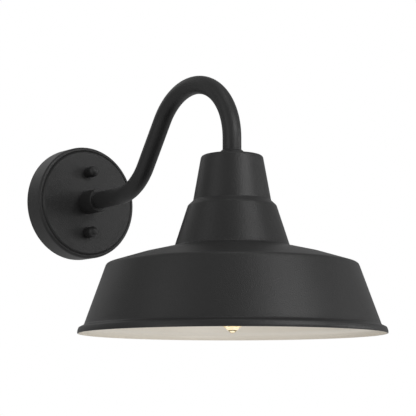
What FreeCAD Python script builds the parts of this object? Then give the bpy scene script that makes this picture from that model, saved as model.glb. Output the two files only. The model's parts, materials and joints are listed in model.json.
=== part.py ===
import FreeCAD, Part
import math
import os

# Outdoor gooseneck wall light: a round canopy on a junction box, a bent tube and a spun bell shade.
# Millimetres. The wall is the plane y = 0, the light stands out of it towards -Y, +Z is up, +X is right.
# Pieces on the wall axis are turned about +Z with heights counted out from the wall, then laid along -Y.

Vector = FreeCAD.Vector
FIT = 0.03                      # radial gap of pieces that are pressed or screwed into each other

# Mounting strap and its fasteners
BOX_SCREW_SPACING = 88.9        # junction box screws, 3 1/2 in apart
STUD_SPACING = 69.85            # fixture screws, 2 3/4 in apart
STRAP_LENGTH, STRAP_WIDTH, STRAP_THICK = 104.8, 20.0, 1.9
SLOT_LENGTH, SLOT_HALF_WIDTH = 10.0, 2.4
STUD_R = 2.08                   # 8-32 thread
STUD_END = 37.5
STUD_NUT_FLATS, STUD_NUT_THICK = 8.7, 3.2
WIRE_HOLE_R = 5.2
GROUND_SCREW_Z = -18.0

# Canopy and gasket
CANOPY_R = 64.4
CANOPY_DEPTH = 26.3             # wall to the front ledge
CANOPY_WALL = 1.6
FACE_R, FACE_FOOT_R = 58.3, 60.0        # raised disc on the front, its edge sloping to its foot
FACE_RISE = 1.8
GROOVE_WIDTH, GROOVE_DEPTH = 0.9, 0.8   # crease in the ledge around the foot of the disc
FACE = CANOPY_DEPTH + FACE_RISE
GASKET_THICK, GASKET_R_IN, GASKET_R_OUT = 1.6, 57.8, 64.2

# Cap nuts
CAP_NUT_R, CAP_NUT_LENGTH = 6.2, 15.0
SEAL_THICK, SEAL_R = 0.8, 5.4
NUT_BORE_R, NUT_BORE_DEPTH = STUD_R + 0.05, 10.4

# Threaded nipples and their nuts, M10 x 1
NIPPLE_R, NIPPLE_BORE_R = 4.95, 3.8
NIPPLE_NUT_FLATS, NIPPLE_NUT_THICK = 14.0, 4.0
WASHER_R, WASHER_THICK = 9.0, 0.8
WALL_NIPPLE_START = 18.3

# Arm
TUBE_R, TUBE_BORE_R = 9.5, 8.0          # 3/4 in tube
REACH = 291.0                   # wall to the axis of the shade
RISE_ANGLE = math.radians(56.2)
LOW_BEND_R, TOP_BEND_R = 60.2, 65.0
LOW_BEND_START = 91.4           # wall to the first bend
COLLAR_R, COLLAR_LENGTH, COLLAR_WEB = 13.3, 24.0, 4.6

# Shade, spun from sheet
SHEET = 1.2
SHADE_TOP = 17.5
SHADE_BOTTOM = -160.4
RIM_R = 152.4                   # 12 in across
NECK_TOP_R = 30.95
NECK_FOOT_R, NECK_FOOT = 39.0, -28.0
STEP_R, STEP = 44.35, -33.1
THROAT_R, THROAT = 57.5, -73.9
SHOULDER_R, SHOULDER = 124.75, -92.0
ROOF_CROWN = 2.3                # how far the middle of the roof stands above its chord
CONE_FOOT_R, CONE_FOOT = 146.1, -152.1
RIM_FLARE = 2.4                 # fall of the rim's flange from the cone to the lip
LIP_TOP_R, LIP_HEM = 151.2, 2.4         # the lip widens from its top to its straight edge

# Fitting on top of the shade
TOP_COLLAR_R, TOP_COLLAR_HEIGHT = 13.0, 5.9
TUBE_END = SHADE_TOP + 1.6
PLUG_LENGTH = 13.0

# Socket
NIPPLE_END = 4.0
YOKE_PLATE_TOP = 7.0
YOKE_THICK, YOKE_HALF, YOKE_WIDTH, YOKE_FOOT_END = 1.6, 17.0, 14.0, 9.5
SOCKET_TOP, SOCKET_FLOOR, SOCKET_LIP = -13.0, -19.0, -50.0
SOCKET_R, SOCKET_LIP_R = 21.0, 18.6
SHELL_R, SHELL_SHEET = 14.0, 0.6
SOCKET_SCREW_Y = 12.0
TERMINAL_X, TERMINAL_TOP = 14.0, -8.0

# Bulb, E26 base, tapered glass
CONTACT = -20.5                 # where the tip of the base meets the socket's contact
BASE_R, BASE_SHEET = 13.1, 0.3
BASE_TOP, BASE_END = -26.0, -48.5
BULB_R = 30.2
BULB_TIP = -159.6
DOME_SLOPE = math.radians(17)   # of the glass around its tip, from level
PIP_R, PIP_HEIGHT = 8.0, 6.3    # solid pip at the tip, where the glass was sealed off
PIP_SLOPE = math.radians(47)
PIP_ROUND = 4.6
GLASS = 0.8
CAGE_POINTS = 10
CAGE_TOP, CAGE_BOTTOM = -86.0, -128.0
CAGE_TOP_R, CAGE_BOTTOM_R = 8.0, 12.0

# Leads
LEAD_R = 1.1
LEAD_X = 1.7                    # each lead runs this far to its side of the tube's middle
CONNECTOR_X, CONNECTOR_Y = 24.0, 11.0


def rounded_edges(points, radii, closed):
    """Straight edges through the points, with an arc of the given radius at each corner."""
    count = len(points)
    edges = []
    joint = None
    first = None
    for i, corner in enumerate(points):
        start = end = corner
        if radii[i] > 0:
            back = (points[i - 1] - corner).normalize()
            ahead = (points[(i + 1) % count] - corner).normalize()
            half = back.getAngle(ahead) / 2
            start = corner + back * (radii[i] / math.tan(half))
            end = corner + ahead * (radii[i] / math.tan(half))
            inward = (back + ahead).normalize()
            middle = corner + inward * (radii[i] / math.sin(half) - radii[i])
        if joint is not None and joint.distanceToPoint(start) > 1e-6:
            edges.append(Part.LineSegment(joint, start).toShape())
        if radii[i] > 0:
            edges.append(Part.Arc(start, middle, end).toShape())
        first = start if first is None else first
        joint = end
    if closed:
        edges.append(Part.LineSegment(joint, first).toShape())
    return edges


def outline_face(corners):
    """Flat face in the XZ plane from closed corners (x, z, corner radius)."""
    points = [Vector(x, 0, z) for x, z, radius in corners]
    return Part.Face(Part.Wire(rounded_edges(points, [c[2] for c in corners], True)))


def turned(corners):
    """Solid of revolution about Z from corners (radius, height, corner radius)."""
    return outline_face(corners).revolve(Vector(0, 0, 0), Vector(0, 0, 1), 360)


def ring(r_in, r_out, low, high):
    return turned([(r_in, low, 0), (r_out, low, 0), (r_out, high, 0), (r_in, high, 0)])


def rod(radius, low, high, x=0.0, y=0.0):
    return Part.makeCylinder(radius, high - low, Vector(x, y, low))


def offset_path(path, gap):
    """The open path (x, z, corner radius) moved to its right by gap, corners kept parallel."""
    normals = []
    for (x0, z0, _), (x1, z1, _) in zip(path, path[1:]):
        length = math.hypot(x1 - x0, z1 - z0)
        normals.append(((z1 - z0) / length, (x0 - x1) / length))
    moved = []
    for i, (x, z, radius) in enumerate(path):
        a = normals[max(i - 1, 0)]
        b = normals[min(i, len(normals) - 1)]
        share = gap / (1 + a[0] * b[0] + a[1] * b[1])
        side = 1 if a[0] * b[1] - a[1] * b[0] > 0 else -1
        new_radius = max(radius + side * gap, 0.1) if radius > 0 else 0
        moved.append((x + share * (a[0] + b[0]), z + share * (a[1] + b[1]), new_radius))
    return moved


def sheet_corners(path, thickness):
    """Closed corners of a sheet whose outer face is the path and whose thickness lies to its right."""
    return path + offset_path(path, thickness)[::-1]


def hexagon(flats, low, high, bore_r):
    radius = flats / math.sqrt(3)
    points = [Vector(radius * math.cos(math.radians(a)), radius * math.sin(math.radians(a)), low)
              for a in range(0, 361, 60)]
    prism = Part.Face(Part.makePolygon(points)).extrude(Vector(0, 0, high - low))
    bevel = turned([(0, low, 0), (flats / 2 + 0.3, low, 0), (radius, low + 0.5, 0),
                    (radius, high - 0.5, 0), (flats / 2 + 0.3, high, 0), (0, high, 0)])
    return prism.common(bevel).cut(rod(bore_r, low - 1, high + 1))


def lay_on_wall(shape):
    """Turn a piece made about +Z so that its heights run out from the wall; its y becomes z."""
    shape.rotate(Vector(0, 0, 0), Vector(1, 0, 0), 90)
    return shape


def hang_on_lamp(shape):
    """Move a piece made about Z to the axis of the shade."""
    shape.translate(Vector(0, -REACH, 0))
    return shape


def pair(make):
    """The same piece at the upper and at the lower fixture screw."""
    return Part.makeCompound([make(STUD_SPACING / 2), make(-STUD_SPACING / 2)])


def moved(shape, x, y):
    shape.translate(Vector(x, y, 0))
    return shape


def sweep(path, radius):
    """Round bar of the given radius along a wire of lines and arcs."""
    start = path.OrderedVertexes[0].Point
    first = path.OrderedEdges[0]
    direction = first.tangentAt(first.FirstParameter)
    circle = Part.Wire(Part.makeCircle(radius, start, direction))
    return path.makePipeShell([circle], True, False)


# ---- wall side ----

def mounting_strap():
    half = STRAP_LENGTH / 2
    plate = Part.makeBox(STRAP_WIDTH, STRAP_LENGTH, STRAP_THICK, Vector(-STRAP_WIDTH / 2, -half, 0))
    plate = plate.makeFillet(4.0, [e for e in plate.Edges if abs(e.tangentAt(0).z) > 0.9])
    holes = [rod(WIRE_HOLE_R, -1, 3), rod(STUD_R + FIT, -1, 3, 0, GROUND_SCREW_Z)]
    for side in (1, -1):
        holes.append(rod(STUD_R + FIT, -1, 3, 0, side * STUD_SPACING / 2))
        middle = side * BOX_SCREW_SPACING / 2
        flat = SLOT_LENGTH / 2 - SLOT_HALF_WIDTH
        holes.append(rod(SLOT_HALF_WIDTH, -1, 3, 0, middle - flat))
        holes.append(rod(SLOT_HALF_WIDTH, -1, 3, 0, middle + flat))
        holes.append(Part.makeBox(2 * SLOT_HALF_WIDTH, 2 * flat, 4,
                                  Vector(-SLOT_HALF_WIDTH, middle - flat, -1)))
    return lay_on_wall(plate.cut(holes))


def mounting_studs():
    return lay_on_wall(pair(lambda y: rod(STUD_R, 0.2, STUD_END, 0, y)))


def strap_lock_nuts():
    def nut(y):
        return moved(hexagon(STUD_NUT_FLATS, STRAP_THICK, STRAP_THICK + STUD_NUT_THICK,
                             STUD_R + FIT), 0, y)
    return lay_on_wall(pair(nut))


def ground_screw():
    head = hexagon(7.9, STRAP_THICK + 1.0, STRAP_THICK + 3.6, 0.01)
    head = head.fuse(rod(4.6, STRAP_THICK, STRAP_THICK + 1.0)).fuse(rod(STUD_R, 0.2, STRAP_THICK + 1))
    slot = Part.makeBox(10, 1.0, 1.4, Vector(-5, -0.5, STRAP_THICK + 2.4))
    core = rod(0.5, STRAP_THICK, STRAP_THICK + 3.0)
    return lay_on_wall(moved(head.fuse(core).cut(slot), 0, GROUND_SCREW_Z))


def canopy_gasket():
    return lay_on_wall(ring(GASKET_R_IN, GASKET_R_OUT, 0, GASKET_THICK))


def canopy():
    hole_r = NIPPLE_R + 0.25
    wall = CANOPY_WALL
    inner_r = CANOPY_R - wall
    pocket_r = FACE_R - wall
    shell = turned([
        (inner_r, GASKET_THICK, 0), (CANOPY_R, GASKET_THICK, 0.4), (CANOPY_R, CANOPY_DEPTH, 2.6),
        (FACE_FOOT_R + GROOVE_WIDTH, CANOPY_DEPTH, 0.3), (FACE_FOOT_R, CANOPY_DEPTH - GROOVE_DEPTH, 0.2),
        (FACE_R, FACE, 0.5), (hole_r, FACE, 0),
        (hole_r, FACE - wall, 0), (pocket_r, FACE - wall, 0.5),
        (pocket_r, CANOPY_DEPTH - wall, 0.5), (inner_r, CANOPY_DEPTH - wall, 0.9)])
    holes = [rod(STUD_R + 0.5, CANOPY_DEPTH - 3, FACE + 1, 0, side * STUD_SPACING / 2)
             for side in (1, -1)]
    return lay_on_wall(shell.cut(holes))


def sealing_washer(side):
    washer = ring(STUD_R + 0.1, SEAL_R, FACE, FACE + SEAL_THICK)
    return lay_on_wall(moved(washer, 0, side * STUD_SPACING / 2))


def cap_nut(side):
    base = FACE + SEAL_THICK
    tip = base + CAP_NUT_LENGTH
    bore_end = base + NUT_BORE_DEPTH
    nut = turned([(NUT_BORE_R, base, 0), (CAP_NUT_R, base, 0.5), (CAP_NUT_R, tip, CAP_NUT_R - 0.3),
                  (0, tip, 0), (0, bore_end + 0.8, 0), (NUT_BORE_R, bore_end, 0)])
    return lay_on_wall(moved(nut, 0, side * STUD_SPACING / 2))


def wall_nipple():
    return lay_on_wall(ring(NIPPLE_BORE_R, NIPPLE_R, WALL_NIPPLE_START, FACE + COLLAR_WEB + 2.6))


def arm_lock_washer():
    face_in = FACE - CANOPY_WALL
    return lay_on_wall(ring(NIPPLE_R + FIT, WASHER_R, face_in - WASHER_THICK, face_in))


def ground_ring_terminal():
    high = FACE - CANOPY_WALL - WASHER_THICK
    eye = rod(7.5, high - 0.8, high).cut(rod(NIPPLE_R + FIT, high - 2, high + 1))
    tail = Part.makeBox(4.4, 7.0, 0.8, Vector(-2.2, -13.5, high - 0.8))
    barrel = Part.makeCylinder(1.9, 5.0, Vector(0, -16.5, high - 1.9), Vector(0, 1, 0))
    bore = Part.makeCylinder(LEAD_R + FIT, 4.4, Vector(0, -16.6, high - 1.9), Vector(0, 1, 0))
    return lay_on_wall(eye.fuse([tail, barrel]).cut(bore).removeSplitter())


def arm_lock_nut():
    high = FACE - CANOPY_WALL - WASHER_THICK - 0.8
    return lay_on_wall(hexagon(NIPPLE_NUT_FLATS, high - NIPPLE_NUT_THICK, high, NIPPLE_R + FIT))


def wall_collar():
    end = FACE + COLLAR_LENGTH
    web = FACE + COLLAR_WEB
    seat_r = TUBE_R + FIT
    body = turned([(NIPPLE_R + FIT, FACE, 0), (COLLAR_R, FACE, 0.4), (COLLAR_R, end, 0.6),
                   (seat_r, end, 0), (seat_r, web, 0), (NIPPLE_R + FIT, web, 0)])
    hole = Part.makeCylinder(2.0, 20, Vector(0, 0, FACE + 12), Vector(0, -1, 0))
    return lay_on_wall(body.cut(hole))


def collar_set_screw():
    height = FACE + 12
    depth = COLLAR_R - 0.2 - TUBE_R - FIT
    screw = Part.makeCylinder(1.97, depth, Vector(0, -TUBE_R - FIT, height), Vector(0, -1, 0))
    key = hexagon(2.0, 0, 1.4, 0.01)
    key.rotate(Vector(0, 0, 0), Vector(1, 0, 0), 90)
    key.translate(Vector(0, -(COLLAR_R - 1.5), height))
    return lay_on_wall(screw.cut(key))


# ---- arm ----

def arm_route(x, start_y, end_z):
    """Corners and radii of a line along the tube: out from the wall, up, over and straight down."""
    low_corner = LOW_BEND_START + LOW_BEND_R * math.tan(RISE_ANGLE / 2)
    high_corner = (REACH - low_corner) * math.tan(RISE_ANGLE)
    points = [Vector(x, -start_y, 0), Vector(x, -low_corner, 0), Vector(x, -REACH, high_corner),
              Vector(x, -REACH, end_z)]
    return points, [0, LOW_BEND_R, TOP_BEND_R, 0]


def arm_tube():
    points, radii = arm_route(0, FACE + COLLAR_WEB + 0.1, TUBE_END)
    route = Part.Wire(rounded_edges(points, radii, False))
    return sweep(route, TUBE_R).cut(sweep(route, TUBE_BORE_R))


def arm_end_plug():
    return hang_on_lamp(ring(NIPPLE_R + FIT, TUBE_BORE_R - FIT, TUBE_END, TUBE_END + PLUG_LENGTH))


def lamp_nipple():
    return hang_on_lamp(ring(NIPPLE_BORE_R, NIPPLE_R, NIPPLE_END, TUBE_END + PLUG_LENGTH - 2))


# ---- shade ----

def shade_path():
    """Outer face of the sheet, from the hole in the top to the edge of the lip."""
    roof_r = (THROAT_R + SHOULDER_R) / 2
    roof = (THROAT + SHOULDER) / 2 + ROOF_CROWN
    return [(NIPPLE_R + 0.25, SHADE_TOP, 0), (NECK_TOP_R, SHADE_TOP, 3.2),
            (NECK_FOOT_R, NECK_FOOT, 1.4), (STEP_R, STEP, 3.2), (THROAT_R, THROAT, 1.8),
            (roof_r, roof, 500.0), (SHOULDER_R, SHOULDER, 4.5), (CONE_FOOT_R, CONE_FOOT, 2.6),
            (LIP_TOP_R, CONE_FOOT - RIM_FLARE, 2.4), (RIM_R, SHADE_BOTTOM + LIP_HEM, 6.0),
            (RIM_R, SHADE_BOTTOM, 0)]


def shade():
    return hang_on_lamp(turned(sheet_corners(shade_path(), SHEET)))


def top_collar():
    seat_r = TUBE_R + FIT
    top = SHADE_TOP + TOP_COLLAR_HEIGHT
    return hang_on_lamp(turned([
        (NIPPLE_R + 0.25, SHADE_TOP, 0), (TOP_COLLAR_R, SHADE_TOP, 0), (TOP_COLLAR_R, top - 2.6, 0.5),
        (TUBE_R + 0.7, top, 0.3), (seat_r, top, 0), (seat_r, TUBE_END, 0), (NIPPLE_R + 0.25, TUBE_END, 0)]))


def shade_washer():
    high = SHADE_TOP - SHEET
    return hang_on_lamp(ring(NIPPLE_R + FIT, WASHER_R + 2, high - WASHER_THICK, high))


def shade_lock_nut():
    high = SHADE_TOP - SHEET - WASHER_THICK
    return hang_on_lamp(hexagon(NIPPLE_NUT_FLATS, high - NIPPLE_NUT_THICK, high, NIPPLE_R + FIT))


# ---- socket ----

def bracket_lock_nut():
    return hang_on_lamp(hexagon(NIPPLE_NUT_FLATS, YOKE_PLATE_TOP, YOKE_PLATE_TOP + 3.0, NIPPLE_R + FIT))


def socket_bracket():
    bend = YOKE_THICK + 0.4
    path = [(-YOKE_FOOT_END, SOCKET_TOP, 0), (-YOKE_HALF, SOCKET_TOP, bend),
            (-YOKE_HALF, YOKE_PLATE_TOP, bend), (YOKE_HALF, YOKE_PLATE_TOP, bend),
            (YOKE_HALF, SOCKET_TOP, bend), (YOKE_FOOT_END, SOCKET_TOP, 0)]
    yoke = outline_face(sheet_corners(path, YOKE_THICK)).extrude(Vector(0, YOKE_WIDTH, 0))
    yoke.translate(Vector(0, -YOKE_WIDTH / 2, 0))
    yoke.rotate(Vector(0, 0, 0), Vector(0, 0, 1), 90)
    holes = [rod(NIPPLE_R + FIT, 0, 20)]
    holes += [rod(1.9, SOCKET_TOP - 1, SOCKET_TOP + 3, 0, side * SOCKET_SCREW_Y) for side in (1, -1)]
    return hang_on_lamp(yoke.cut(holes))


def socket_screws():
    screws = []
    for side in (1, -1):
        seat = SOCKET_TOP + YOKE_THICK
        screw = turned([(0, SOCKET_TOP - 4.4, 0), (1.65, SOCKET_TOP - 4.4, 0), (1.65, seat, 0),
                        (2.75, seat, 0), (2.75, seat + 1.8, 0.9), (0, seat + 1.8, 0)])
        slot = Part.makeBox(6, 0.8, 1.0, Vector(-3, -0.4, seat + 1.0))
        screws.append(moved(screw.cut(slot), 0, side * SOCKET_SCREW_Y))
    return hang_on_lamp(Part.makeCompound(screws))


def socket_body():
    cup_r = SHELL_R + 0.2
    body = turned([(0, SOCKET_TOP, 0), (0, SOCKET_FLOOR, 0), (cup_r, SOCKET_FLOOR, 0),
                   (cup_r, SOCKET_LIP + 1.6, 0), (cup_r + 0.8, SOCKET_LIP, 0.5),
                   (SOCKET_LIP_R, SOCKET_LIP, 1.6), (SOCKET_LIP_R, SOCKET_LIP + 14, 2.0),
                   (SOCKET_R, SOCKET_LIP + 17, 2.0), (SOCKET_R, SOCKET_TOP, 1.6)])
    holes = [rod(1.7, SOCKET_TOP - 4.6, SOCKET_TOP + 1, 0, side * SOCKET_SCREW_Y) for side in (1, -1)]
    slots = [Part.makeBox(1.0, 5.0, 1.4, Vector(x - 0.5, -2.5, SOCKET_TOP - 1.2))
             for x in (TERMINAL_X, -TERMINAL_X)]
    return hang_on_lamp(body.cut(holes + slots))


def socket_screw_shell():
    high = SOCKET_FLOOR
    return hang_on_lamp(turned([
        (7.5, high, 0), (SHELL_R, high, 0.8), (SHELL_R, SOCKET_LIP + 3, 0),
        (SHELL_R - SHELL_SHEET, SOCKET_LIP + 3, 0), (SHELL_R - SHELL_SHEET, high - SHELL_SHEET, 0.2),
        (7.5, high - SHELL_SHEET, 0)]))


def socket_center_contact():
    return hang_on_lamp(turned([(0, SOCKET_FLOOR, 0), (5.0, SOCKET_FLOOR, 0),
                                (5.0, SOCKET_FLOOR - 0.6, 0), (3.2, CONTACT + 0.05, 0.6),
                                (0, CONTACT + 0.05, 0)]))


def socket_terminals():
    tabs = [Part.makeBox(0.8, 4.8, TERMINAL_TOP - SOCKET_TOP + 1.1, Vector(x - 0.4, -2.4, SOCKET_TOP - 1.1))
            for x in (TERMINAL_X, -TERMINAL_X)]
    return hang_on_lamp(Part.makeCompound(tabs))


# ---- bulb ----

def bulb_tip_contact():
    return hang_on_lamp(turned([(0, CONTACT, 0), (4.4, CONTACT, 1.3), (4.4, CONTACT - 1.7, 0),
                                (0, CONTACT - 1.7, 0)]))


def bulb_base_insulator():
    return hang_on_lamp(turned([(0, CONTACT - 1.7, 0), (4.8, CONTACT - 1.7, 0), (10.9, BASE_TOP + 0.6, 0.8),
                                (10.9, BASE_TOP - 1.2, 0), (0, BASE_TOP - 1.2, 0)]))


def bulb_screw_base():
    path = [(11.0, BASE_TOP, 0), (BASE_R, BASE_TOP, 1.0), (BASE_R, BASE_END, 0)]
    return hang_on_lamp(turned(sheet_corners(path, BASE_SHEET)))


def bulb_glass():
    neck_r = BASE_R - BASE_SHEET - FIT
    dome = BULB_TIP + PIP_HEIGHT
    side_foot = dome + (BULB_R - PIP_R) * math.tan(DOME_SLOPE)
    crown = dome - PIP_R * math.tan(DOME_SLOPE)
    tip_r = PIP_R - PIP_HEIGHT / math.tan(PIP_SLOPE)
    side = [(neck_r, BASE_TOP - 4, 0), (neck_r, -58.0, 50.0), (BULB_R, -106.0, 90.0),
            (BULB_R, side_foot, 18.0)]
    inner = offset_path(side + [(0, crown, 0)], GLASS)
    inner[-1] = (0, inner[-1][1], 0)
    outer = side + [(PIP_R, dome, 8.0), (tip_r, BULB_TIP, PIP_ROUND), (0, BULB_TIP, 0)]
    return hang_on_lamp(turned(outer + inner[::-1]))


def bulb_stem():
    flare_r = BASE_R - BASE_SHEET - GLASS - 3 * FIT
    rod_end = CAGE_BOTTOM - 2.5
    return hang_on_lamp(turned([
        (0, -38.0, 0), (4.6, -38.0, 0), (flare_r, -36.0, 0), (flare_r, -37.2, 0), (4.6, -44.0, 3.0),
        (4.6, -76.0, 2.0), (2.6, -82.0, 1.0), (1.3, -84.0, 0), (1.3, rod_end, 0.6), (0, rod_end, 0)]))


def cage_point(i, radius_gap=0.0):
    """Corner i of the filament's cage, odd ones at the bottom."""
    low = i % 2 == 1
    radius = (CAGE_BOTTOM_R if low else CAGE_TOP_R) - radius_gap
    turn = 2 * math.pi * i / CAGE_POINTS
    return Vector(radius * math.cos(turn), radius * math.sin(turn), CAGE_BOTTOM if low else CAGE_TOP)


def wire_between(a, b, radius):
    return Part.makeCylinder(radius, (b - a).Length, a, b - a)


def bulb_filament():
    radius = 0.25
    points = [cage_point(i) for i in range(CAGE_POINTS)]
    pieces = [wire_between(a, b, radius) for a, b in zip(points, points[1:])]
    pieces += [Part.makeSphere(radius, p) for p in points]
    return hang_on_lamp(pieces[0].fuse(pieces[1:]))


def bulb_supports():
    """Hooks from the stem's rod to the cage's corners, the two end ones being the lead-in wires."""
    hooks = []
    for i in range(CAGE_POINTS):
        outer = cage_point(i, 0.3)
        root = Vector(outer.x, outer.y, 0).normalize() * 1.35
        root.z = outer.z + (3.0 if i % 2 == 1 else 2.0)
        hooks.append(wire_between(root, outer, 0.2))
    return hang_on_lamp(Part.makeCompound(hooks))


# ---- leads ----

def supply_lead(side):
    """Lead from its connector in the canopy, through the arm, to its terminal on the socket."""
    x = side * LEAD_X
    points, radii = arm_route(x, 11.0, 0.0)
    points[0] = Vector(x, -CONNECTOR_Y, 0)
    corner_x = side * CONNECTOR_X
    points = [Vector(corner_x, -CONNECTOR_Y, -18.0), Vector(corner_x, -CONNECTOR_Y, 0)] + points
    points += [Vector(side * TERMINAL_X, -REACH, 0), Vector(side * TERMINAL_X, -REACH, TERMINAL_TOP)]
    radii = [0, 8.0, 7.0] + radii[1:3] + [4.6, 4.6, 0]
    return sweep(Part.Wire(rounded_edges(points, radii, False)), LEAD_R)


def wire_connectors():
    def connector(x):
        cone = turned([(LEAD_R + FIT, -12.0, 0), (5.5, -12.0, 0.6), (5.2, -20.0, 0), (3.6, -32.0, 1.2),
                       (0, -32.0, 0), (0, -18.0, 0), (LEAD_R + FIT, -18.0, 0)])
        return moved(cone, x, -CONNECTOR_Y)
    return Part.makeCompound([connector(CONNECTOR_X), connector(-CONNECTOR_X)])


def ground_lead():
    """Lead from the ring terminal to the ground screw."""
    height = FACE - CANOPY_WALL - WASHER_THICK - 1.9
    points = [Vector(0, -12.4, height), Vector(0, -26.5, height), Vector(0, -26.5, STRAP_THICK + 2.1),
              Vector(0, GROUND_SCREW_Z - 4.65, STRAP_THICK + 2.1)]
    wire = Part.Wire(rounded_edges(points, [0, 7.0, 3.6, 0], False))
    return lay_on_wall(sweep(wire, LEAD_R - 0.1))


PARTS = {
    "mounting_strap": mounting_strap,
    "mounting_studs": mounting_studs,
    "strap_lock_nuts": strap_lock_nuts,
    "ground_screw": ground_screw,
    "canopy_gasket": canopy_gasket,
    "canopy": canopy,
    "upper_sealing_washer": lambda: sealing_washer(1),
    "lower_sealing_washer": lambda: sealing_washer(-1),
    "upper_cap_nut": lambda: cap_nut(1),
    "lower_cap_nut": lambda: cap_nut(-1),
    "wall_nipple": wall_nipple,
    "arm_lock_washer": arm_lock_washer,
    "ground_ring_terminal": ground_ring_terminal,
    "arm_lock_nut": arm_lock_nut,
    "wall_collar": wall_collar,
    "collar_set_screw": collar_set_screw,
    "arm_tube": arm_tube,
    "arm_end_plug": arm_end_plug,
    "lamp_nipple": lamp_nipple,
    "top_collar": top_collar,
    "shade": shade,
    "shade_washer": shade_washer,
    "shade_lock_nut": shade_lock_nut,
    "bracket_lock_nut": bracket_lock_nut,
    "socket_bracket": socket_bracket,
    "socket_screws": socket_screws,
    "socket_body": socket_body,
    "socket_screw_shell": socket_screw_shell,
    "socket_center_contact": socket_center_contact,
    "socket_terminals": socket_terminals,
    "bulb_tip_contact": bulb_tip_contact,
    "bulb_base_insulator": bulb_base_insulator,
    "bulb_screw_base": bulb_screw_base,
    "bulb_glass": bulb_glass,
    "bulb_stem": bulb_stem,
    "bulb_filament": bulb_filament,
    "bulb_supports": bulb_supports,
    "hot_lead": lambda: supply_lead(1),
    "neutral_lead": lambda: supply_lead(-1),
    "ground_lead": ground_lead,
    "wire_connectors": wire_connectors,
}

os.makedirs("parts", exist_ok=True)
for name, make in PARTS.items():
    shape = make()
    shape.exportStep("parts/" + name + ".step")
    box = shape.BoundBox
    print(f"{name:24s} solids {len(shape.Solids)} valid {shape.isValid()} volume {shape.Volume:10.1f}"
          f"  x {box.XMin:7.1f} {box.XMax:7.1f}  y {box.YMin:7.1f} {box.YMax:7.1f}"
          f"  z {box.ZMin:7.1f} {box.ZMax:7.1f}")
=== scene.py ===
import json
import math

import bmesh
import bpy
import numpy as np
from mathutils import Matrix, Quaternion, Vector


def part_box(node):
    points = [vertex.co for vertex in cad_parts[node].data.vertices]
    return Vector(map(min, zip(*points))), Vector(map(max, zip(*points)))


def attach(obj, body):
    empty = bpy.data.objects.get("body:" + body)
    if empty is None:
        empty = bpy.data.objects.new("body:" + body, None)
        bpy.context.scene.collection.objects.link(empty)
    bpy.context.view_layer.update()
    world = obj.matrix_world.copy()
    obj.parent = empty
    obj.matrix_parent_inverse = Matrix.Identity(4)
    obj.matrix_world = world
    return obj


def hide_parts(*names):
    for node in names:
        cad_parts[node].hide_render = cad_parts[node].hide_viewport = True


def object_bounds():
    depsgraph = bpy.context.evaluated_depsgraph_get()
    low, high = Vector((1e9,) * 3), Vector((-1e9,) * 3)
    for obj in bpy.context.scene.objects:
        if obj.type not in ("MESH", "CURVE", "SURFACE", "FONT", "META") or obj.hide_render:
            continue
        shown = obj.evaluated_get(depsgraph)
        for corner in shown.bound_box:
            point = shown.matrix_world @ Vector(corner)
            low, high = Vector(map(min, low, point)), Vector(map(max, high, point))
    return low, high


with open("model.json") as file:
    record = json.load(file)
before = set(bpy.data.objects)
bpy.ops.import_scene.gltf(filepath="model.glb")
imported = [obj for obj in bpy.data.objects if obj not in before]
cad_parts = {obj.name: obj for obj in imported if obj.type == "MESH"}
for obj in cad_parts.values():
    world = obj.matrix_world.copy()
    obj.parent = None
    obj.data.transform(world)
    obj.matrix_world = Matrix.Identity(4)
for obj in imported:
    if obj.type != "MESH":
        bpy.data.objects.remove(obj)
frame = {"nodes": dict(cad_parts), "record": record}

# Outdoor gooseneck wall light, in metres. The wall is the plane y = 0 and the light stands out towards -Y.
# Profiles are written in millimetres from the axis and scaled by MM. A few keep INSET inside their solid.

MM = 0.001
INSET = 0.05
CAD_BOX = [list(corner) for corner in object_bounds()]

SHADE_LOW, SHADE_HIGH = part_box("shade")
AXIS_Y = (SHADE_LOW.y + SHADE_HIGH.y) / 2
RIM_R = (SHADE_HIGH.x - SHADE_LOW.x) / 2 / MM

# Camera: turn about +Z from looking along +Y, upward tilt, and distance to a point near the shade's axis
VIEW_TURN, VIEW_TILT, VIEW_ROLL = -37.96, 7.856, -0.022
VIEW_DISTANCE = 1.3678
VIEW_TARGET = Vector((-0.01899, AXIS_Y + 0.01482, -0.03507))
LENS = 118.72


# ---- mesh helpers ----

ARC_STEP = math.radians(7)
ON_AXIS = 1e-6


def rounded(corners):
    """Outline points (radius, height) in mm from corners (radius, height, corner radius)."""
    points = []
    count = len(corners)
    for i, (r, z, fillet) in enumerate(corners):
        corner = np.array((r, z))
        if fillet <= 0:
            points.append(corner)
            continue
        back = np.array(corners[i - 1][:2]) - corner
        ahead = np.array(corners[(i + 1) % count][:2]) - corner
        back = back / np.linalg.norm(back)
        ahead = ahead / np.linalg.norm(ahead)
        half = math.acos(np.clip(back @ ahead, -1, 1)) / 2
        inward = (back + ahead) / np.linalg.norm(back + ahead)
        centre = corner + inward * fillet / math.sin(half)
        start = corner + back * fillet / math.tan(half) - centre
        turn = math.pi - 2 * half
        side = 1 if back[0] * ahead[1] - back[1] * ahead[0] < 0 else -1
        steps = max(2, round(turn / ARC_STEP))
        for k in range(steps + 1):
            a = side * turn * k / steps
            spin = np.array(((math.cos(a), -math.sin(a)), (math.sin(a), math.cos(a))))
            points.append(centre + spin @ start)
    return points


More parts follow.
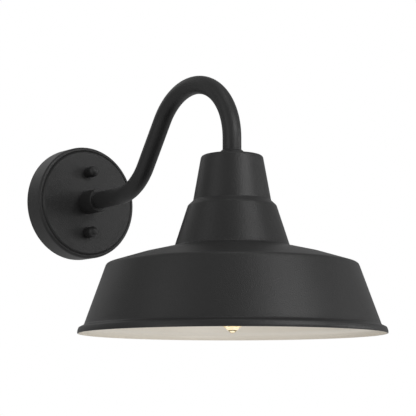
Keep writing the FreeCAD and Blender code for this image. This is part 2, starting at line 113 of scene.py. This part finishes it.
def offset(path, gap):
    """The open path of corners moved to its right by gap, with parallel corners."""
    normals = []
    for (x0, z0, _), (x1, z1, _) in zip(path, path[1:]):
        length = math.hypot(x1 - x0, z1 - z0)
        normals.append(((z1 - z0) / length, (x0 - x1) / length))
    moved = []
    for i, (x, z, radius) in enumerate(path):
        a = normals[max(i - 1, 0)]
        b = normals[min(i, len(normals) - 1)]
        share = gap / (1 + a[0] * b[0] + a[1] * b[1])
        side = 1 if a[0] * b[1] - a[1] * b[0] > 0 else -1
        new_radius = max(radius + side * gap, 0.1) if radius > 0 else 0
        moved.append((x + share * (a[0] + b[0]), z + share * (a[1] + b[1]), new_radius))
    return moved


def subdivide(points, longest):
    """Outline points with long straight stretches cut, so that shading and noise stay even."""
    out = [points[0]]
    for a, b in zip(points, points[1:]):
        pieces = max(1, math.ceil(np.linalg.norm(np.asarray(b) - a) / longest))
        out += [a + (np.asarray(b) - a) * k / pieces for k in range(1, pieces + 1)]
    return out


def new_mesh(name, verts, faces, smooth_angle=32):
    mesh = bpy.data.meshes.new(name)
    mesh.from_pydata([tuple(v) for v in verts], [], faces)
    mesh.validate()
    mesh.polygons.foreach_set("use_smooth", [True] * len(mesh.polygons))
    mesh.set_sharp_from_angle(angle=math.radians(smooth_angle))
    obj = bpy.data.objects.new(name, mesh)
    bpy.context.scene.collection.objects.link(obj)
    return obj


def lathe(name, outline, place, segments, smooth_angle=32, swell=None):
    """Closed solid of revolution. The outline runs round a closed section, or from pole to pole.

    swell gives how far a point at (radius, height, angle) stands out from the round.
    """
    verts, faces, rows = [], [], []
    for r, z in outline:
        if r < ON_AXIS:
            rows.append([len(verts)] * segments)
            verts.append(place(0.0, 0.0, z))
            continue
        rows.append(list(range(len(verts), len(verts) + segments)))
        for k in range(segments):
            a = 2 * math.pi * k / segments
            out = r + (swell(r, z, a) if swell else 0.0)
            verts.append(place(out * math.cos(a), out * math.sin(a), z))
    open_ends = outline[0][0] < ON_AXIS and outline[-1][0] < ON_AXIS
    pairs = list(zip(rows, rows[1:])) + ([] if open_ends else [(rows[-1], rows[0])])
    for a, b in pairs:
        for k in range(segments):
            n = (k + 1) % segments
            face = [a[k], a[n], b[n], b[k]]
            face = [v for i, v in enumerate(face) if v != face[i - 1]]
            if len(face) > 2:
                faces.append(face)
    obj = new_mesh(name, verts, faces, smooth_angle)
    face_outwards(obj)
    return obj


def tube(name, paths, radius, segments):
    """Round wires along lists of points, with rounded ends, as one object."""
    verts, faces = [], []
    for path in paths:
        points = [Vector(p) for p in path]
        side = None
        first = len(verts)
        for i, point in enumerate(points):
            ahead = (points[min(i + 1, len(points) - 1)] - points[max(i - 1, 0)]).normalized()
            if side is None:
                side = ahead.orthogonal()
            side = (side - ahead * side.dot(ahead)).normalized()
            up = ahead.cross(side)
            for k in range(segments):
                a = 2 * math.pi * k / segments
                verts.append(point + (side * math.cos(a) + up * math.sin(a)) * radius)
        for i in range(len(points) - 1):
            for k in range(segments):
                a, b = first + i * segments + k, first + i * segments + (k + 1) % segments
                faces.append((a, b, b + segments, a + segments))
        for row, end, before in ((0, points[0], points[1]), (len(points) - 1, points[-1], points[-2])):
            verts.append(end + (end - before).normalized() * radius * 0.6)
            base = first + row * segments
            for k in range(segments):
                faces.append((base + k, base + (k + 1) % segments, len(verts) - 1))
    obj = new_mesh(name, verts, faces, 50)
    face_outwards(obj)
    return obj


def smooth_line(points, steps):
    """Points along a Catmull-Rom curve through the given points."""
    points = [Vector(p) for p in points]
    ends = [2 * points[0] - points[1]] + points + [2 * points[-1] - points[-2]]
    line = [points[0]]
    for p0, p1, p2, p3 in zip(ends, ends[1:], ends[2:], ends[3:]):
        for k in range(1, steps + 1):
            t = k / steps
            line.append(0.5 * (2 * p1 + (p2 - p0) * t + (2 * p0 - 5 * p1 + 4 * p2 - p3) * t * t
                               + (3 * p1 - p0 - 3 * p2 + p3) * t ** 3))
    return line


def thread(pitch, depth, low, high, fade):
    """Swell of a right-hand thread, cut to nothing at both ends."""
    def swell(r, z, a):
        ends = min(1.0, max(0.0, (z - low) / fade), max(0.0, (high - z) / fade))
        return depth / 2 * ends * math.cos(2 * math.pi * z / pitch - a)
    return swell


def face_outwards(obj):
    bm = bmesh.new()
    bm.from_mesh(obj.data)
    bmesh.ops.recalc_face_normals(bm, faces=bm.faces)
    bm.to_mesh(obj.data)
    bm.free()


def on_lamp(x, y, z):
    """Millimetres about the shade's axis to the frame."""
    return Vector((x * MM, AXIS_Y + y * MM, z * MM))


def on_wall(x, y, z):
    """Millimetres of a piece made about +Z to the frame, its heights laid out from the wall."""
    return Vector((x * MM, -z * MM, y * MM))


def add_piece(obj, slot, body, *nodes):
    give_material(obj, slot)
    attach(obj, body)
    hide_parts(*nodes)
    return obj


# ---- materials ----

COAT_DARK, COAT_LIGHT = (0.0160, 0.0160, 0.0160), (0.0185, 0.0185, 0.0185)
COAT_SPECK = (0.024, 0.024, 0.024)
ENAMEL_WARM, ENAMEL_PALE = (0.96, 0.905, 0.805), (0.975, 0.92, 0.83)
# Painted glints: the unlit bulb's glass glows gold and white on its lowest PIP_HEIGHT above the tip, a
# painted highlight standing in for light it catches.
PAINTED_GLINT_GOLD, PAINTED_GLINT_WHITE = (1.0, 0.66, 0.20), (1.0, 0.90, 0.66)
PIP_HEIGHT, PIP_FADE_UP, PIP_FADE_DOWN = 0.0065, 0.0025, 0.0015
PAINTED_GLINT_GLOW = 0.20


class Nodes:
    """Short calls for one material's node tree."""

    def __init__(self, name):
        self.material = bpy.data.materials.new(name)
        self.material.use_nodes = True
        self.tree = self.material.node_tree
        self.tree.nodes.clear()
        self.shader = self.tree.nodes.new("ShaderNodeBsdfPrincipled")
        out = self.tree.nodes.new("ShaderNodeOutputMaterial")
        self.tree.links.new(self.shader.outputs[0], out.inputs[0])
        self.where = self.tree.nodes.new("ShaderNodeTexCoord").outputs["Object"]

    def link(self, a, b):
        self.tree.links.new(a, b)

    def noise(self, scale, detail=2.0, roughness=0.5, stretch=None):
        node = self.tree.nodes.new("ShaderNodeTexNoise")
        node.inputs["Scale"].default_value = scale
        node.inputs["Detail"].default_value = detail
        node.inputs["Roughness"].default_value = roughness
        self.link(self.stretched(stretch), node.inputs["Vector"])
        return node.outputs["Fac"]

    def cells(self, scale):
        node = self.tree.nodes.new("ShaderNodeTexVoronoi")
        node.feature = "SMOOTH_F1"
        node.inputs["Scale"].default_value = scale
        node.inputs["Smoothness"].default_value = 0.6
        self.link(self.where, node.inputs["Vector"])
        return node.outputs["Distance"]

    def stretched(self, stretch):
        if stretch is None:
            return self.where
        node = self.tree.nodes.new("ShaderNodeMapping")
        node.inputs["Scale"].default_value = stretch
        self.link(self.where, node.inputs["Vector"])
        return node.outputs[0]

    def span(self, value, low, high, to_low=0.0, to_high=1.0):
        node = self.tree.nodes.new("ShaderNodeMapRange")
        node.inputs["From Min"].default_value = low
        node.inputs["From Max"].default_value = high
        node.inputs["To Min"].default_value = to_low
        node.inputs["To Max"].default_value = to_high
        self.link(value, node.inputs["Value"])
        return node.outputs[0]

    def math(self, kind, a, b):
        node = self.tree.nodes.new("ShaderNodeMath")
        node.operation = kind
        for socket, value in zip(node.inputs, (a, b)):
            if isinstance(value, (int, float)):
                socket.default_value = value
            else:
                self.link(value, socket)
        return node.outputs[0]

    def mix(self, factor, a, b):
        node = self.tree.nodes.new("ShaderNodeMix")
        node.data_type = "RGBA"
        self.link(factor, node.inputs["Factor"])
        for socket, value in ((node.inputs["A"], a), (node.inputs["B"], b)):
            if isinstance(value, tuple):
                socket.default_value = (*value, 1.0)
            else:
                self.link(value, socket)
        return node.outputs["Result"]

    def bump(self, height, distance, strength=1.0):
        node = self.tree.nodes.new("ShaderNodeBump")
        node.inputs["Strength"].default_value = strength
        node.inputs["Distance"].default_value = distance
        self.link(height, node.inputs["Height"])
        return node.outputs[0]

    def height(self):
        split = self.tree.nodes.new("ShaderNodeSeparateXYZ")
        self.link(self.where, split.inputs[0])
        return split.outputs["Z"]

    def set(self, **values):
        for name, value in values.items():
            socket = self.shader.inputs[name.replace("_", " ")]
            if isinstance(value, (int, float, tuple)):
                socket.default_value = (*value, 1.0) if isinstance(value, tuple) else value
            else:
                self.link(value, socket)
        return self.material


def powder_coat():
    """Matt black with a fine pebbled grain and paler specks on its crests."""
    n = Nodes("powder_coat")
    grain = n.noise(900.0, 3.0, 0.65)
    pebble = n.cells(900.0)
    patches = n.noise(9.0, 3.0, 0.55)
    height = n.math("ADD", n.math("MULTIPLY", grain, 0.6), n.math("MULTIPLY", pebble, 0.4))
    body = n.mix(n.span(patches, 0.3, 0.7), COAT_DARK, COAT_LIGHT)
    specks = n.mix(n.span(grain, 0.55, 0.80), body, COAT_SPECK)
    rough = n.math("ADD", n.span(patches, 0.3, 0.7, 0.38, 0.43), n.span(grain, 0.3, 0.7, -0.02, 0.03))
    return n.set(Base_Color=specks, Roughness=rough, Specular_IOR_Level=0.42,
                 Normal=n.bump(height, 0.0004, 0.7))


def white_enamel():
    """Warm white with a slight orange-peel surface."""
    n = Nodes("white_enamel")
    patches = n.noise(14.0, 3.0, 0.5)
    peel = n.noise(420.0, 1.5, 0.5)
    colour = n.mix(n.span(patches, 0.3, 0.7), ENAMEL_WARM, ENAMEL_PALE)
    rough = n.span(patches, 0.3, 0.7, 0.36, 0.44)
    return n.set(Base_Color=colour, Roughness=rough, Normal=n.bump(peel, 0.00008, 0.5))


def metal(name, colour, roughness, scratch=(60.0, 900.0, 900.0), variation=0.12):
    """Metal with dull patches and fine lines along X."""
    n = Nodes(name)
    patches = n.noise(120.0, 3.0, 0.6)
    lines = n.noise(1.0, 3.0, 0.6, scratch)
    low = tuple(c * (1 - variation) for c in colour)
    high = tuple(min(1.0, c * (1 + variation)) for c in colour)
    rough = n.math("ADD", n.span(patches, 0.3, 0.7, roughness - 0.05, roughness + 0.06),
                   n.span(lines, 0.3, 0.7, -0.03, 0.03))
    return n.set(Base_Color=n.mix(n.span(patches, 0.3, 0.7), low, high), Metallic=1.0, Roughness=rough,
                 Normal=n.bump(lines, 0.00003, 0.4))


def plastic(name, colour, roughness, grain=700.0, relief=0.00004, variation=0.1):
    """Any smooth non-metal, with slight patches and a moulded grain."""
    n = Nodes(name)
    patches = n.noise(90.0, 2.0, 0.5)
    fine = n.noise(grain, 2.0, 0.5)
    low = tuple(c * (1 - variation) for c in colour)
    high = tuple(min(1.0, c * (1 + variation)) for c in colour)
    return n.set(Base_Color=n.mix(n.span(patches, 0.3, 0.7), low, high),
                 Roughness=n.span(fine, 0.3, 0.7, roughness - 0.05, roughness + 0.05),
                 Normal=n.bump(fine, relief, 0.6))


def glass(name, tint, roughness=0.0, pip=0.0):
    """Clear glass; below the height of the pip it glows with painted gold and white glints, a painted
    highlight on glass that is no lamp.
    """
    n = Nodes(name)
    waves = n.noise(35.0, 1.0, 0.4)
    amber = tuple(c ** 1.25 for c in tint)
    # Painted highlight: streaks of gold and white emission, full below the pip and fading out above it.
    streaks = n.noise(330.0, 2.0, 0.5, (1.0, 1.0, 0.6))
    painted_glint = n.mix(n.span(streaks, 0.42, 0.58), PAINTED_GLINT_GOLD, PAINTED_GLINT_WHITE)
    painted_glint_near_tip = n.span(n.height(), pip + PIP_FADE_UP, pip - PIP_FADE_DOWN, 0.0, PAINTED_GLINT_GLOW)
    return n.set(Base_Color=n.mix(n.span(waves, 0.3, 0.7), tint, amber), Roughness=roughness,
                 Transmission_Weight=1.0, IOR=1.5, Emission_Color=painted_glint, Emission_Strength=painted_glint_near_tip,
                 Normal=n.bump(waves, 0.0004, 0.25))


MATERIALS = {
    "black_powder_coat": powder_coat(),
    "white_enamel": white_enamel(),
    "black_foam": plastic("black_foam", (0.03, 0.03, 0.03), 0.85, 1100.0, 0.00025),
    "black_rubber": plastic("black_rubber", (0.02, 0.02, 0.02), 0.6),
    "zinc_steel": metal("zinc_steel", (0.62, 0.62, 0.58), 0.34),
    "green_steel": metal("green_steel", (0.05, 0.32, 0.12), 0.36),
    "black_steel": metal("black_steel", (0.05, 0.05, 0.05), 0.4),
    "tinned_copper": metal("tinned_copper", (0.72, 0.70, 0.66), 0.3),
    "porcelain": plastic("porcelain", (0.86, 0.85, 0.81), 0.14, 260.0, 0.00005, 0.03),
    "nickel_brass": metal("nickel_brass", (0.72, 0.68, 0.60), 0.22),
    "brass": metal("brass", (0.80, 0.58, 0.26), 0.28),
    "solder": metal("solder", (0.55, 0.55, 0.55), 0.45),
    "black_glass": plastic("black_glass", (0.012, 0.012, 0.012), 0.12, 300.0, 0.00003),
    # The bulb's glass takes painted glints up to PIP_HEIGHT above its tip; the stem glass, its pip set at
    # -1 m, takes none.
    "clear_glass": glass("clear_glass", (1.0, 0.955, 0.86), 0.0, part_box("bulb_glass")[0].z + PIP_HEIGHT),
    "stem_glass": glass("stem_glass", (0.95, 0.97, 0.97), 0.02, -1.0),
    "tungsten": metal("tungsten", (0.32, 0.30, 0.28), 0.35),
    "black_insulation": plastic("black_insulation", (0.02, 0.02, 0.02), 0.45),
    "white_insulation": plastic("white_insulation", (0.78, 0.78, 0.76), 0.45),
    "green_insulation": plastic("green_insulation", (0.04, 0.28, 0.10), 0.45),
    "orange_plastic": plastic("orange_plastic", (0.75, 0.22, 0.03), 0.35),
}


def give_material(obj, slot):
    obj.data.materials.clear()
    obj.data.materials.append(MATERIALS[slot])


for part in frame["record"]["subparts"]:
    node = frame["nodes"][part["node"]]
    give_material(node, part["material_slot"])


# ---- shade ----

SHEET, COAT, COAT_GAP = 1.2, 0.14, 0.02
NECK_TOP_R = 30.95
NECK_FOOT = (39.0, -28.0)
STEP = (44.35, -33.1)
THROAT = (57.5, -73.9)
SHOULDER = (124.75, -92.0)
ROOF_CROWN = 2.3
CONE_FOOT = (146.1, -152.1)
RIM_FLARE = 2.4
LIP_TOP_R, LIP_HEM = 151.2, 2.4
EDGE_ROUND = 0.7
HOLE_R = 5.2


def shade_path():
    """Outer face of the sheet, from the hole in the top to the edge of the lip."""
    top, bottom = SHADE_HIGH.z / MM, SHADE_LOW.z / MM
    roof = ((THROAT[0] + SHOULDER[0]) / 2, (THROAT[1] + SHOULDER[1]) / 2 + ROOF_CROWN)
    return [(HOLE_R, top, 0), (NECK_TOP_R, top, 3.2), (*NECK_FOOT, 1.4), (*STEP, 3.2), (*THROAT, 1.8),
            (*roof, 500.0), (*SHOULDER, 4.5), (*CONE_FOOT, 2.6), (LIP_TOP_R, CONE_FOOT[1] - RIM_FLARE, 2.4),
            (RIM_R, bottom + LIP_HEM, 6.0), (RIM_R, bottom, 0)]


def build_shade():
    path = shade_path()
    shell_in = offset(path, SHEET - COAT - COAT_GAP)
    coat_out = offset(path, SHEET - COAT)
    coat_in = offset(path, SHEET)
    edge = path[:-1] + [(path[-1][0], path[-1][1], EDGE_ROUND), (shell_in[-1][0], path[-1][1], 0)]
    shell = lathe("shade_shell", subdivide(rounded(edge), 3.0) + rounded(shell_in)[::-1], on_lamp, 288)
    coat = lathe("shade_enamel", rounded(coat_out) + rounded(coat_in)[::-1], on_lamp, 288)
    add_piece(shell, "black_powder_coat", "fixture", "shade")
    add_piece(coat, "white_enamel", "fixture", "shade")


# ---- threads ----

INCH = 25.4
BULB_PITCH, BULB_FADE = INCH / 7, 1.5
STUD_PITCH = INCH / 32
NIPPLE_PITCH = 1.0


def rod_outline(bore, crest, step, start, end, bevel):
    """Straight rod with bevelled ends that step down from the crest, solid where the bore is 0."""
    return [(bore, start), (crest - step, start), (crest, start + bevel), (crest, end - bevel),
            (crest - step, end), (bore, end)]


def fine(outline, step):
    return subdivide([np.array(p) for p in outline], step)


def build_bulb_base():
    low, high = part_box("bulb_screw_base")
    bottom, top, r = low.z / MM, high.z / MM, (high.x - low.x) / 2 / MM
    depth, sheet = 0.9, 0.3
    mouth_r, skirt, slope = 11.0, 1.4, 0.8
    path = [(mouth_r, top, 0), (r - depth / 2, top, 1.0), (r - depth / 2, bottom + skirt + slope, 0.4),
            (r - INSET, bottom + skirt, 0.4), (r - INSET, bottom, 0)]
    outline = rounded(path) + rounded(offset(path, sheet))[::-1]
    obj = lathe("bulb_threaded_cap", fine(outline, 0.4), on_lamp, 72, 45,
                thread(BULB_PITCH, depth, bottom + 2.6, top - 1.2, BULB_FADE))
    add_piece(obj, "brass", "bulb", "bulb_screw_base")


def build_socket_shell():
    low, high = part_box("socket_screw_shell")
    bottom, top, r = low.z / MM, high.z / MM, (high.x - low.x) / 2 / MM
    depth, sheet, eye_r = 0.8, 0.45, 7.5
    path = [(eye_r, top, 0), (r - depth / 2, top, 0.8), (r - depth / 2, bottom, 0)]
    outline = rounded(path) + rounded(offset(path, sheet))[::-1]
    obj = lathe("socket_threaded_shell", fine(outline, 0.4), on_lamp, 72, 45,
                thread(BULB_PITCH, depth, bottom + 0.6, top - 1.2, BULB_FADE))
    add_piece(obj, "nickel_brass", "fixture", "socket_screw_shell")


def build_studs():
    """Threaded rods with bevelled ends at the upper and the lower fixture screw."""
    low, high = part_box("mounting_studs")
    start, end, r = -high.y / MM, -low.y / MM, high.x / MM
    spread = high.z / MM - r
    depth, bevel = 0.42, 0.6
    mean = r - depth / 2
    outline = rod_outline(0, mean, bevel, start, end, bevel)
    swell = thread(STUD_PITCH, depth, start, end, bevel)
    for name, side in (("upper_threaded_stud", 1), ("lower_threaded_stud", -1)):
        def place(x, y, z):
            return on_wall(x, y + side * spread, z)
        obj = lathe(name, fine(outline, STUD_PITCH / 5), place, 20, 60,
                    lambda ring_r, z, a: swell(ring_r, z, a) if ring_r > mean - bevel / 2 else 0.0)
        add_piece(obj, "zinc_steel", "fixture", "mounting_studs")


def build_nipple(name, node, place, start, end):
    r, bore, depth, bevel = 4.95, 3.8, 0.5, 0.5
    mean = r - depth / 2
    swell = thread(NIPPLE_PITCH, depth, start, end, bevel)
    outline = rod_outline(bore, mean, bevel / 2, start, end, bevel)
    obj = lathe(name, fine(outline, NIPPLE_PITCH / 5), place, 32, 60,
                lambda ring_r, z, a: swell(ring_r, z, a) if ring_r > mean - bevel / 2 else 0.0)
    add_piece(obj, "zinc_steel", "fixture", node)


def build_nipples():
    low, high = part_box("wall_nipple")
    build_nipple("threaded_wall_nipple", "wall_nipple", on_wall, -high.y / MM, -low.y / MM)
    low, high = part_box("lamp_nipple")
    build_nipple("threaded_lamp_nipple", "lamp_nipple", on_lamp, low.z / MM, high.z / MM)


# ---- wiring ----

CONNECTOR_R = 5.5


def build_connectors():
    """Twist-on connectors: a fluted cone with a smooth hollow skirt."""
    low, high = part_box("wire_connectors")
    skirt, tip = high.z / MM, low.z / MM
    centre_x = high.x / MM - CONNECTOR_R
    centre_y = -(low.y + high.y) / 2 / MM
    flutes, depth = 14, 0.5
    step, shoulder, hollow = skirt - 5.0, skirt - 8.0, skirt - 6.5
    outline = rounded([(0, tip, 0), (3.4, tip, 1.2), (5.0, shoulder, 0.6), (5.35, step, 0.6),
                       (CONNECTOR_R - INSET, skirt, 0.5), (4.3, skirt, 0.3), (3.6, step, 0.3),
                       (1.2, hollow, 0.3), (0, hollow, 0)])

    def swell(r, z, a):
        ends = min(1.0, max(0.0, (z - tip - 1.0) / 1.5), max(0.0, (skirt - 7.0 - z) / 1.5))
        return -depth / 2 * ends * (1 + math.cos(flutes * a)) / 2

    for name, side in (("hot_wire_connector", 1), ("neutral_wire_connector", -1)):
        def place(x, y, z):
            return Vector(((x + side * centre_x) * MM, (y - centre_y) * MM, z * MM))
        obj = lathe(name, fine(outline, 0.6), place, 112, 40, swell)
        add_piece(obj, "orange_plastic", "fixture", "wire_connectors")


# ---- bulb ----

CAGE_POINTS = 10
CAGE_TOP_R, CAGE_BOTTOM_R = 8.0, 12.0
CAGE_MARGIN = 0.25
FILAMENT_R, FILAMENT_SLACK, FILAMENT_STEPS = 0.16, 0.5, 12
HOOK_R, STEM_ROD_R = 0.14, 1.2


def cage_point(i, inset=0.0):
    low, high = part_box("bulb_filament")
    radius = (CAGE_BOTTOM_R if i % 2 else CAGE_TOP_R) - inset
    turn = 2 * math.pi * i / CAGE_POINTS
    height = low.z / MM + CAGE_MARGIN if i % 2 else high.z / MM - CAGE_MARGIN
    return Vector((radius * math.cos(turn), radius * math.sin(turn), height))


def build_filament():
    """A fine wire up and down a cage of hooks, a little slack between them."""
    line = []
    for i in range(CAGE_POINTS - 1):
        a, b = cage_point(i), cage_point(i + 1)
        for k in range(FILAMENT_STEPS):
            t = k / FILAMENT_STEPS
            point = a.lerp(b, t)
            inward = Vector((-point.x, -point.y, 0)).normalized()
            line.append(point + inward * FILAMENT_SLACK * math.sin(math.pi * t))
    line.append(cage_point(CAGE_POINTS - 1))
    wire = tube("cage_filament", [[on_lamp(*p) for p in line]], FILAMENT_R * MM, 8)
    add_piece(wire, "tungsten", "bulb", "bulb_filament")


def build_supports():
    """Fine hooks from the stem's rod, each bent to a small eye round the filament's corner."""
    hooks = []
    for i in range(CAGE_POINTS):
        corner = cage_point(i, 0.1)
        out = Vector((corner.x, corner.y, 0)).normalized()
        up = -1 if i % 2 else 1
        root = out * STEM_ROD_R + Vector((0, 0, corner.z + (3.0 if i % 2 else -2.0)))
        knee = root.lerp(corner, 0.55) + Vector((0, 0, 0.5))
        eye = corner + Vector((0, 0, -0.5 * up)) + out * 0.35
        path = smooth_line([root, knee, corner + out * 0.15, eye], 5)
        hooks.append([on_lamp(*p) for p in path])
    add_piece(tube("filament_hooks", hooks, HOOK_R * MM, 8), "tungsten", "bulb", "bulb_supports")


build_shade()
build_bulb_base()
build_socket_shell()
build_studs()
build_nipples()
build_connectors()
build_filament()
build_supports()


# ---- stage, light and camera ----

FLOOR_DROP, FLOOR_HALF = 3.0, 14.0
FLOOR_GLOW = 0.14
AMBIENT = 0.34
LIGHT_DISTANCE = 2.6
MIDDLE = Vector((0.0, -0.25, -0.03))

# name, turn to the right of the view and height in degrees, size, watts
SOFT_BOXES = (
    ("key", 45, 25, (1.5, 0.9), 21.5),
    ("under", 30, -35, (0.9, 0.9), 12.0),
    ("left", -45, 2, (1.2, 0.9), 6.5),
    ("left_high", -60, 32, (1.0, 0.9), 3.0),
    ("left_back", -140, 30, (1.6, 1.2), 2.2),
    ("right_back", 95, 6, (0.9, 0.9), 8.5),
    ("top", 30, 70, (1.4, 1.2), 6.0),
)


def add_floor():
    low = CAD_BOX[0][2] - FLOOR_DROP
    corners = [(x * FLOOR_HALF, y * FLOOR_HALF, low) for x, y in ((-1, -1), (1, -1), (1, 1), (-1, 1))]
    floor = new_mesh("floor", corners, [(0, 1, 2, 3)])
    n = Nodes("pale_floor")
    pale = n.mix(n.noise(2.0), (0.84, 0.84, 0.84), (0.88, 0.88, 0.88))
    floor.data.materials.append(n.set(Base_Color=pale, Roughness=0.8, Emission_Color=pale,
                                      Emission_Strength=FLOOR_GLOW))


def add_light(name, turn, height, size, watts):
    """Soft box aimed at the object, its turn counted to the right of the view and its height from level."""
    a = math.radians(VIEW_TURN + turn)
    h = math.radians(height)
    towards = Vector((math.sin(a) * math.cos(h), -math.cos(a) * math.cos(h), math.sin(h)))
    data = bpy.data.lights.new(name, "AREA")
    data.shape = "RECTANGLE"
    data.size, data.size_y = size
    data.energy = watts
    lamp = bpy.data.objects.new(name, data)
    lamp.location = MIDDLE + towards * LIGHT_DISTANCE
    lamp.rotation_euler = towards.to_track_quat("Z", "Y").to_euler()
    bpy.context.scene.collection.objects.link(lamp)


def add_world():
    """Even white surround, seen at full strength and lighting the object at a part of it."""
    world = bpy.data.worlds.new("studio")
    world.use_nodes = True
    tree = world.node_tree
    background = tree.nodes["Background"]
    path = tree.nodes.new("ShaderNodeLightPath")
    strength = tree.nodes.new("ShaderNodeMapRange")
    strength.inputs["To Min"].default_value = AMBIENT
    strength.inputs["To Max"].default_value = 1.0
    seen = tree.nodes.new("ShaderNodeMath")
    seen.operation = "MAXIMUM"
    tree.links.new(path.outputs["Is Camera Ray"], seen.inputs[0])
    tree.links.new(path.outputs["Is Transmission Ray"], seen.inputs[1])
    tree.links.new(seen.outputs[0], strength.inputs["Value"])
    tree.links.new(strength.outputs[0], background.inputs["Strength"])
    background.inputs["Color"].default_value = (1, 1, 1, 1)
    bpy.context.scene.world = world


def add_camera():
    data = bpy.data.cameras.new("camera")
    data.lens = LENS
    data.clip_end = 60.0
    camera = bpy.data.objects.new("camera", data)
    turn, tilt = math.radians(VIEW_TURN), math.radians(VIEW_TILT)
    ahead = Vector((-math.sin(turn) * math.cos(tilt), math.cos(turn) * math.cos(tilt), math.sin(tilt)))
    camera.location = VIEW_TARGET - ahead * VIEW_DISTANCE
    roll = Quaternion(Vector((0, 0, 1)), math.radians(VIEW_ROLL))
    camera.rotation_mode = "QUATERNION"
    camera.rotation_quaternion = ahead.to_track_quat("-Z", "Y") @ roll
    bpy.context.scene.collection.objects.link(camera)
    bpy.context.scene.camera = camera


add_floor()
add_world()
for soft_box in SOFT_BOXES:
    add_light(*soft_box)
add_camera()
bpy.context.scene.view_settings.view_transform = "Standard"
